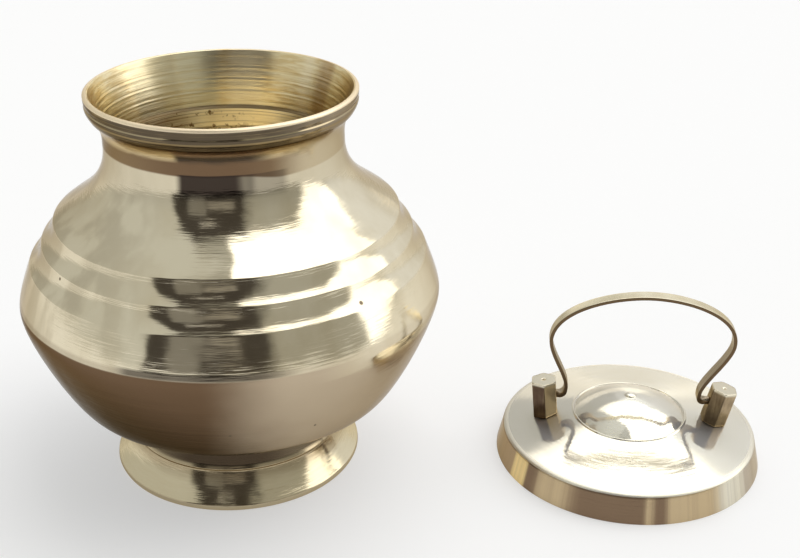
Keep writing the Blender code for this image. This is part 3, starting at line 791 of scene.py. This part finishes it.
def bore_coat(recipe, spot, colour):
    """A ringed bore with painted reflections and highlights round it, painted shade on the ledge, and below
    it a throat left as it was cast, speckled on the left and painted dark at both sides as shade. Gives the
    colour and the shares of throat and ledge."""
    bored = recipe.mix(recipe.step(spot.swept + 0.3 * spot.broad, 0.45, 0.85), BORE, BORE_BROWN)
    # Painted reflections and highlights round the bore
    edge = BORE_REFLECTION_EDGE
    for start, end, tone in BORE_REFLECTIONS:
        patch = recipe.between(spot.around_back, start - edge, start + edge, end - edge, end + edge)
        bored = recipe.mix(0.65 * patch, bored, tone)
    colour = recipe.mix(spot.inside, colour, bored)
    throat = spot.inside * recipe.step(spot.height, LEDGE_Z - 0.3, LEDGE_Z - 0.6)
    speckle = recipe.step(recipe.cloud(spot.place, 420.0, 3.0), 0.56, 0.66)
    speckle = speckle * recipe.step(spot.across, 12.0, -14.0)
    # Painted shade at both sides of the throat
    sides = recipe.step(recipe.math("ABSOLUTE", spot.across - 2.0) + 16 * (spot.cloud - 0.5), 15.0, 29.0)
    scored = recipe.step(recipe.lines(spot.along, 900.0), 0.5, 0.62)
    specks_and_shade = recipe.math("MAXIMUM", speckle, 0.7 * sides) + 0.35 * scored
    colour = recipe.mix(throat, colour, recipe.mix(specks_and_shade, CAST, CAST_SPECK_AND_SHADE))
    # Painted shade on the ledge
    ledge = recipe.between(spot.height, LEDGE_Z - 1.0, LEDGE_Z - 0.6, LEDGE_Z + 0.2, LEDGE_Z + 0.7)
    ledge = ledge * spot.inside
    return recipe.mix(0.7 * ledge, colour, CAST_SPECK_AND_SHADE), throat, ledge


def pitted(recipe, spot, colour):
    """Lays the small casting pits on the outside."""
    for aim, level, size in PITS:
        radius = float(np.interp(-level, -pot_outside[:, 1], pot_outside[:, 0]))
        point = (radius * math.sin(math.radians(aim)), -radius * math.cos(math.radians(aim)), level)
        colour = recipe.mix(recipe.step(recipe.away(spot.place, point), size * PIT_EDGE, size), colour, PIT)
    return colour


def pot_paint(recipe):
    """Polished brass with fine tool lines, short swept marks and the slow waves of hand polishing; brown
    painted reflection of the floor below the belly line, on the neck and on the rim's sides, with painted
    shade and highlights; a ringed bore with painted reflections, and a cast, speckled throat below it."""
    spot = pot_spot(recipe)
    colour, floor_reflection = belly_coat(recipe, spot)
    colour, neck = neck_coat(recipe, spot, colour)
    colour, lip = rim_coat(recipe, spot, colour)
    colour, throat, ledge = bore_coat(recipe, spot, colour)
    colour = pitted(recipe, spot, colour)
    roughness = 0.05 + 0.04 * spot.cloud + 0.04 * spot.fine + 0.05 * spot.smear + 0.18 * spot.inside
    roughness = roughness + 0.09 * floor_reflection + 0.09 * neck + 0.4 * lip + 0.4 * ledge
    relief = 3.0 * spot.fine + 4.0 * spot.broad
    relief = relief + 11.0 * spot.swept * (1 - 0.35 * spot.inside)
    relief = relief + 85.0 * spot.waves * (1 - 0.65 * spot.inside)
    relief = relief + 10.0 * spot.inside * recipe.lines(spot.along, 1500.0)
    relief = relief + 14.0 * throat * recipe.cloud(spot.place, 260.0, 4.0)
    return colour, roughness, recipe.bump(relief, 6.0), 0.0


FOOT_POLISH = rgb(0.73, 0.65, 0.46)
FOOT_POLISH_WARM = rgb(0.62, 0.52, 0.33)
FOOT_BROWN = rgb(0.30, 0.22, 0.125)
# Painted shade in the waist, under the belly
WAIST_SHADE = rgb(0.075, 0.052, 0.033)


def foot_paint(recipe):
    """The pot's polish on the flare, with the tool's lines, painted brown towards the collar as the shaded
    belly's reflection and brown on the lip, and painted shade in the waist above the collar, less of it at
    the sides."""
    place = recipe.place(FOOT_AXIS)
    x, _, z = recipe.parts(place)
    across, height = x / MM, z / MM
    along = recipe.note("along")
    cloud = recipe.cloud(place, 40.0, 3.0)
    waves = recipe.cloud(place, 80.0, 1.0)
    swept = recipe.swept(place, along, 5.0, 1000.0)
    fine = recipe.lines(along, 2600.0)
    broad = recipe.lines(along, 600.0)
    bright = recipe.mix(0.5 * cloud + 0.4 * swept, FOOT_POLISH, FOOT_POLISH_WARM)
    # Painted reflection of the shaded belly towards the collar
    collar_shade = recipe.step(height + 3 * (cloud - 0.5) + 1.5 * (swept - 0.5), COLLAR_Z - 6.5, COLLAR_Z - 1.5)
    lip = recipe.step(height, FOOT_LIP + 0.3, FOOT_LIP - 0.3)
    colour = recipe.mix(0.6 * collar_shade + 0.45 * lip, bright, FOOT_BROWN)
    # Painted shade in the waist under the belly, less of it at the sides
    waist = recipe.step(height, COLLAR_Z + 0.6, COLLAR_Z + 1.6)
    painted_dark_lifted = recipe.step(recipe.math("ABSOLUTE", across) + 8 * (cloud - 0.5), 12.0, 30.0)
    colour = recipe.mix(waist * (0.97 - 0.3 * painted_dark_lifted), colour, WAIST_SHADE)
    roughness = 0.08 + 0.07 * cloud + 0.07 * fine + 0.12 * waist
    relief = 3.0 * fine + 4.0 * broad + 16.0 * swept + 70.0 * waves
    return colour, roughness, recipe.bump(relief, 6.0), 0.0


LID_POLISH = rgb(0.90, 0.85, 0.69)
LID_POLISH_WARM = rgb(0.80, 0.74, 0.555)
# Painted shade on both sides of the cone
LID_SHADED = rgb(0.43, 0.385, 0.285)
SKIRT_REFLECTION_BASE = rgb(0.38, 0.275, 0.165)
SKIRT_GOLD = rgb(0.80, 0.61, 0.29)
SKIRT_BROWN = rgb(0.22, 0.15, 0.096)
SKIRT_TAN = rgb(0.54, 0.42, 0.255)
SKIRT_PALE = rgb(0.74, 0.70, 0.58)
SKIRT_GREY = rgb(0.53, 0.475, 0.41)

# Painted reflections round the skirt: where each sets in and is full, in degrees round from the front to the
# right
SKIRT_REFLECTIONS = (
    (-69.0, -66.0, SKIRT_GOLD), (-59.0, -56.0, SKIRT_BROWN), (-54.0, -48.0, SKIRT_TAN),
    (-40.0, -28.0, SKIRT_BROWN), (-3.2, 0.0, SKIRT_TAN), (1.0, 4.5, SKIRT_BROWN), (7.0, 10.0, SKIRT_TAN),
    (29.0, 39.0, SKIRT_PALE), (47.0, 55.0, SKIRT_GREY), (110.0, 165.0, SKIRT_REFLECTION_BASE),
)


def lid_paint(recipe):
    """Pale hazed polish on the cone and dome, with the lathe's rings and polishing waves, painted darker at
    both sides as shade, and a brushed skirt whose painted reflections go round from gold over brown and tan
    to pale, in soft upright streaks."""
    place = recipe.place(LID_AXIS)
    x, y, z = recipe.parts(place)
    height, turn = z / MM, recipe.bearing(x, 0.0 - y)
    along, skirt, under = (recipe.note(name) for name in ("along", "skirt", "under"))
    cloud = recipe.cloud(place, 40.0, 3.0)
    waves = recipe.cloud(place, 65.0, 1.0)
    swept = recipe.swept(place, along, 6.0, 900.0)
    fine = recipe.lines(along, 2200.0)
    broad = recipe.lines(along, 420.0)
    streak = recipe.lines(turn, 0.22, 3.0)
    top = recipe.mix(recipe.step(0.6 * cloud + 0.4 * swept, 0.38, 0.66), LID_POLISH, LID_POLISH_WARM)
    ragged = turn + 30 * (cloud - 0.5)
    # The cone painted darker on both sides as shade
    left_side = recipe.step(ragged, -30.0, -75.0) * recipe.step(turn, -175.0, -130.0)
    right_side = recipe.step(ragged, 40.0, 70.0) * recipe.step(turn, 130.0, 110.0)
    top = recipe.mix(0.8 * left_side + 0.6 * right_side, top, LID_SHADED)
    # The skirt's tones round it are painted reflections; its streaks are brushing
    around = turn + 5 * (streak - 0.5)
    brushed = SKIRT_REFLECTION_BASE
    for start, full, tone in SKIRT_REFLECTIONS:
        brushed = recipe.mix(recipe.step(around, start, full), brushed, tone)
    brushed = recipe.mix(0.15 * recipe.step(streak, 0.42, 0.62), brushed, SKIRT_BROWN)
    colour = recipe.mix(skirt, top, brushed)
    colour = recipe.mix(under, colour, CAST)
    lip_end = LID_HEIGHT - LID_LIP
    lip = recipe.between(height, lip_end - 0.2, lip_end + 0.4, LID_HEIGHT + 0.25, LID_HEIGHT + 0.55)
    lip = lip * (1 - under)
    roughness = 0.035 + 0.03 * cloud + 0.03 * fine + 0.15 * skirt + 0.2 * under + 0.35 * lip
    relief = 2.0 * fine + 3.0 * broad + 5.0 * swept + 24.0 * waves
    return colour, roughness, recipe.bump(relief, 5.0), 1 - skirt


POST_FACE_BROWN = rgb(0.74, 0.59, 0.37)
POST_FACE_DARK = rgb(0.095, 0.06, 0.04)
POST_CROWN = rgb(0.70, 0.64, 0.50)


def post_paint(recipe):
    """Drawn bar: brown flats with faint lines along them, painted paler on one side as light and darker on
    the others as shade, and a pale crown.
    """
    place = recipe.place(LID_AXIS)
    crown, face_light = recipe.note("crown"), recipe.note("face_light")
    streak = recipe.stretched(place, 1500.0, (1.0, 1.0, 25.0))
    cloud = recipe.cloud(place, 160.0)
    # Flats painted lighter where they face the light and darker as shade on the other sides
    lit_face = recipe.step(face_light + 0.3 * (cloud - 0.5) + 0.15 * (streak - 0.5), 0.25, 0.85)
    face = recipe.mix(lit_face, POST_FACE_DARK, POST_FACE_BROWN)
    colour = recipe.mix(crown, face, POST_CROWN)
    roughness = 0.16 + 0.10 * streak - 0.04 * crown
    return colour, roughness, recipe.bump(streak * (1 - crown), 4.0), 0.0


BAIL_KHAKI = rgb(0.80, 0.74, 0.57)
BAIL_KHAKI_DARK = rgb(0.66, 0.58, 0.41)
BAIL_LEG = rgb(0.23, 0.18, 0.125)
BAIL_EDGE_BROWN = rgb(0.15, 0.10, 0.055)
BAIL_LEG_TOP = PIVOT_Z + BULGE_RISE + 14.0
BAIL_LEG_FULL = PIVOT_Z + BULGE_RISE - 2.0


def bail_paint(recipe):
    """Satin strip with fine marks along it, darker down its legs, and brown edges where it was sheared."""
    along, across, rim = (recipe.note(name) for name in ("along", "across", "rim"))
    place = recipe.place(LID_AXIS)
    inputs = {"X": along * 60.0, "Y": across * 3500.0, "Z": rim}
    brushed = recipe.cloud(recipe.node("ShaderNodeCombineXYZ", inputs=inputs), 1.0, 3.0)
    cloud = recipe.cloud(place, 120.0)
    face = recipe.mix(recipe.step(0.5 * cloud + 0.5 * brushed, 0.35, 0.65), BAIL_KHAKI, BAIL_KHAKI_DARK)
    _, _, z = recipe.parts(place)
    leg = recipe.step(z / MM + 10 * (cloud - 0.5), BAIL_LEG_TOP, BAIL_LEG_FULL)
    face = recipe.mix(0.85 * leg, face, BAIL_LEG)
    sheared = recipe.step(rim + 0.03 * (cloud - 0.5), 0.93, 0.975)
    colour = recipe.mix(sheared, face, BAIL_EDGE_BROWN)
    roughness = 0.20 + 0.14 * brushed + 0.06 * sheared
    return colour, roughness, recipe.bump(brushed, 5.0), 0.0


SCREW_BRASS = rgb(0.58, 0.47, 0.29)
SCREW_DULL = rgb(0.40, 0.30, 0.17)


def screw_paint(recipe):
    """Small turned screws, dulled in patches."""
    cloud = recipe.cloud(recipe.place(LID_AXIS), 700.0, 3.0)
    colour = recipe.mix(recipe.step(cloud, 0.4, 0.6), SCREW_BRASS, SCREW_DULL)
    return colour, 0.26 + 0.15 * cloud, recipe.bump(cloud, 10.0), 0.0


# Making the pieces

pot_outside = pot_outside_line()
pot_rows = rows_on(eased(np.vstack([pot_inside_line(), pot_outside]), soften=0.22), count=450, corner=9.0)
rim_row = int(np.argmax(pot_rows[:, 1] * 10 - np.abs(pot_rows[:, 0] - MOUTH_RADIUS - FIT)))
pot_notes = {"inside": (np.arange(len(pot_rows)) < rim_row).astype(float), "facing": facing_of(pot_rows)}
pot_shell = turned("pot_shell", pot_rows, POT_AXIS, COLUMNS, pot_notes)
pot_finish = brass("pot_brass_polish", pot_paint, TOOL_GRAIN, POT_RIM_TINT)
fitted(pot_shell, "pot", ["pot_body"], pot_finish)

foot_rows = rows_on(eased(foot_line(), soften=0.18, closed=True), count=220, corner=6.0)
foot_flare = turned("foot_flare", foot_rows, FOOT_AXIS, COLUMNS, {}, closed=True)
fitted(foot_flare, "pot", ["foot_ring"], brass("foot_brass_polish", foot_paint, TOOL_GRAIN))

lid_rows = rows_on(eased(lid_line(), soften=0.15), count=380, corner=6.0)
hem_row = int(np.argmin(lid_rows[:, 1] * 10 - lid_rows[:, 0]))
on_outside = np.arange(len(lid_rows)) <= hem_row
on_skirt = on_outside & (lid_rows[:, 1] < LID_HEIGHT - 0.5 * LID_LIP)
lid_notes = {"skirt": on_skirt.astype(float), "under": (~on_outside).astype(float)}
lid_crown = turned("lid_crown", lid_rows, LID_AXIS, COLUMNS, lid_notes)
fitted(lid_crown, "lid", ["lid_cap"], brass("lid_brass_polish", lid_paint, LID_GRAIN))

post_finish = brass("post_brass_drawn", post_paint)
for side, hand in ((-1, "left"), (1, "right")):
    fitted(post("hex_post_" + hand, side), "lid", ["post_" + hand], post_finish)

fitted(bail_strip("bail_strip"), "bail", ["bail_handle"], brass("bail_brass_satin", bail_paint))

screw_finish = brass("screw_brass_dull", screw_paint)
for hand in ("left", "right"):
    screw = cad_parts["post_screw_" + hand]
    screw.data.materials.clear()
    screw.data.materials.append(screw_finish)


# Floor, light and camera

# In metres; the white share is what the camera and the metal see of the sheet as plain white
FLOOR_REACH = 12.0
FLOOR_DROP = 0.0001
FLOOR_PALE = rgb(0.96, 0.957, 0.95)
FLOOR_WHITE_SHARE = 0.45

# Zones of the studio light, laid over one another: where each starts, is full, fades and ends in degrees,
# round from the front to the right and up from the floor, then its share and its tone
EVERYWHERE = (-400.0, -300.0, 300.0, 400.0)
REAR_GLOW = rgb(1.4, 1.4, 1.4)
STUDIO_GREY = rgb(0.64, 0.65, 0.63)
STUDIO_ZONES = (
    ((100.0, 112.0, 300.0, 400.0), EVERYWHERE, 1.0, rgb(0.93, 0.96, 1.02)),
    (EVERYWHERE, (-400.0, -300.0, -1.0, 6.0), 1.0, rgb(0.86, 0.86, 0.84)),
    ((-46.0, -40.0, 74.0, 80.0), EVERYWHERE, 1.0, rgb(0.44, 0.44, 0.41)),
    ((-44.0, -40.0, 20.0, 30.0), (-400.0, -300.0, 67.0, 71.0), 1.0, rgb(0.065, 0.058, 0.052)),
    ((-30.0, -27.0, -13.0, -10.0), (-400.0, -300.0, 32.0, 38.0), 0.35, rgb(0.60, 0.59, 0.56)),
    ((-22.0, -20.0, -5.0, -3.0), (45.0, 46.5, 49.0, 50.5), 1.0, rgb(0.75, 0.74, 0.72)),
    ((-14.0, -6.0, 8.0, 16.0), (9.0, 15.0, 22.0, 29.0), 0.7, rgb(0.46, 0.44, 0.41)),
    ((150.0, 165.0, 300.0, 400.0), (5.0, 9.0, 18.0, 22.0), 1.0, REAR_GLOW),
    ((-400.0, -300.0, -165.0, -150.0), (5.0, 9.0, 18.0, 22.0), 1.0, REAR_GLOW),
)
LAMP_WHITE = rgb(2.1, 2.1, 2.1)

# Lamps: where each sets in and is full, in the same degrees. The lower edge of the overhead lamp falls to the
# right, by so much for each degree, and the far edge of the right lamp slants
OVERHEAD_SIDE = (5.0, 11.0)
OVERHEAD_EDGE = 74.4
OVERHEAD_FALL = 0.3
OVERHEAD_LOWEST = 45.0
RIGHT_SIDE = (76.0, 82.0)
RIGHT_SLANT = (99.0, 92.0)
RIGHT_RISE = (-6.0, -2.0)
REAR_LEFT = (-144.0, -150.0)
REAR_RIGHT = (164.0, 172.0)
REAR_RISE = (42.0, 48.0)

# Viewpoint, in metres, degrees and millimetres
CAMERA_SPOT = (-0.00039, -0.42738, 0.2761)
CAMERA_TILT = 64.34
CAMERA_ROLL = 0.35
CAMERA_LENS = 58.05
CAMERA_SENSOR = 36.0


def floor_sheet():
    """A plain pale sheet, far wider than the object, a hair below the foot."""
    corners = np.array([[-1, -1], [1, -1], [1, 1], [-1, 1]]) * FLOOR_REACH
    mesh = bpy.data.meshes.new("floor")
    mesh.from_pydata([(x, y, -FLOOR_DROP) for x, y in corners.tolist()], [], [(0, 1, 2, 3)])
    floor = bpy.data.objects.new("floor", mesh)
    bpy.context.scene.collection.objects.link(floor)
    material = bpy.data.materials.new("floor_pale")
    material.use_nodes = True
    recipe = Recipe(material.node_tree)
    inputs = {"Base Color": FLOOR_PALE, "Roughness": 0.9, "Specular IOR Level": 0.1}
    paper = recipe.node("ShaderNodeBsdfPrincipled", inputs=inputs)
    white = recipe.node("ShaderNodeEmission", inputs={"Color": rgb(1.0, 1.0, 1.0), "Strength": 1.0})
    path = recipe.node("ShaderNodeLightPath", output="Is Camera Ray")
    seen = path + path.out("Is Glossy Ray") + path.out("Is Transmission Ray")
    sheet = recipe.node("ShaderNodeMixShader", inputs={0: FLOOR_WHITE_SHARE * seen, 1: paper, 2: white})
    recipe.node("ShaderNodeOutputMaterial", inputs={"Surface": sheet})
    mesh.materials.append(material)


def studio_light():
    """An even grey surround with soft bright and dim zones, which the metal shows as paler and darker
    patches, and three large lamps: overhead, on the right and at the rear."""
    world = bpy.data.worlds.new("studio")
    bpy.context.scene.world = world
    world.use_nodes = True
    recipe = Recipe(world.node_tree)
    x, y, z = recipe.parts(recipe.node("ShaderNodeTexCoord", output="Generated"))
    side = recipe.bearing(x, 0.0 - y)
    rise = recipe.math("ARCSINE", z) * (180 / math.pi)
    tone = STUDIO_GREY
    for side_span, rise_span, share, zone_tone in STUDIO_ZONES:
        zone = share * recipe.between(side, *side_span) * recipe.between(rise, *rise_span)
        tone = recipe.mix(zone, tone, zone_tone)
    edge = recipe.math("MAXIMUM", OVERHEAD_EDGE - OVERHEAD_FALL * side, OVERHEAD_LOWEST)
    overhead = recipe.step(side, *OVERHEAD_SIDE) * recipe.step(rise - edge, -2.5, 2.5)
    right = recipe.step(side, *RIGHT_SIDE) * recipe.step(side - rise, *RIGHT_SLANT)
    right = right * recipe.step(rise, *RIGHT_RISE)
    rear = recipe.step(side, *REAR_LEFT) + recipe.step(side, *REAR_RIGHT)
    rear = rear * recipe.step(rise, *REAR_RISE)
    lamps = recipe.math("MAXIMUM", overhead, recipe.math("MAXIMUM", right, rear))
    tone = recipe.mix(lamps, tone, LAMP_WHITE)
    surround = recipe.node("ShaderNodeBackground", inputs={"Color": tone, "Strength": 1.0})
    recipe.node("ShaderNodeOutputWorld", inputs={"Surface": surround})


def photo_camera():
    """The photograph's viewpoint: in front of the row, looking down at it, with a slight roll."""
    data = bpy.data.cameras.new("camera")
    data.sensor_width = CAMERA_SENSOR
    data.lens = CAMERA_LENS
    camera = bpy.data.objects.new("camera", data)
    bpy.context.scene.collection.objects.link(camera)
    tilt = Matrix.Rotation(math.radians(CAMERA_TILT), 4, "X")
    roll = Matrix.Rotation(math.radians(CAMERA_ROLL), 4, "Z")
    camera.matrix_world = Matrix.Translation(CAMERA_SPOT) @ tilt @ roll
    bpy.context.scene.camera = camera


floor_sheet()
studio_light()
photo_camera()
bpy.context.scene.view_settings.view_transform = "Standard"
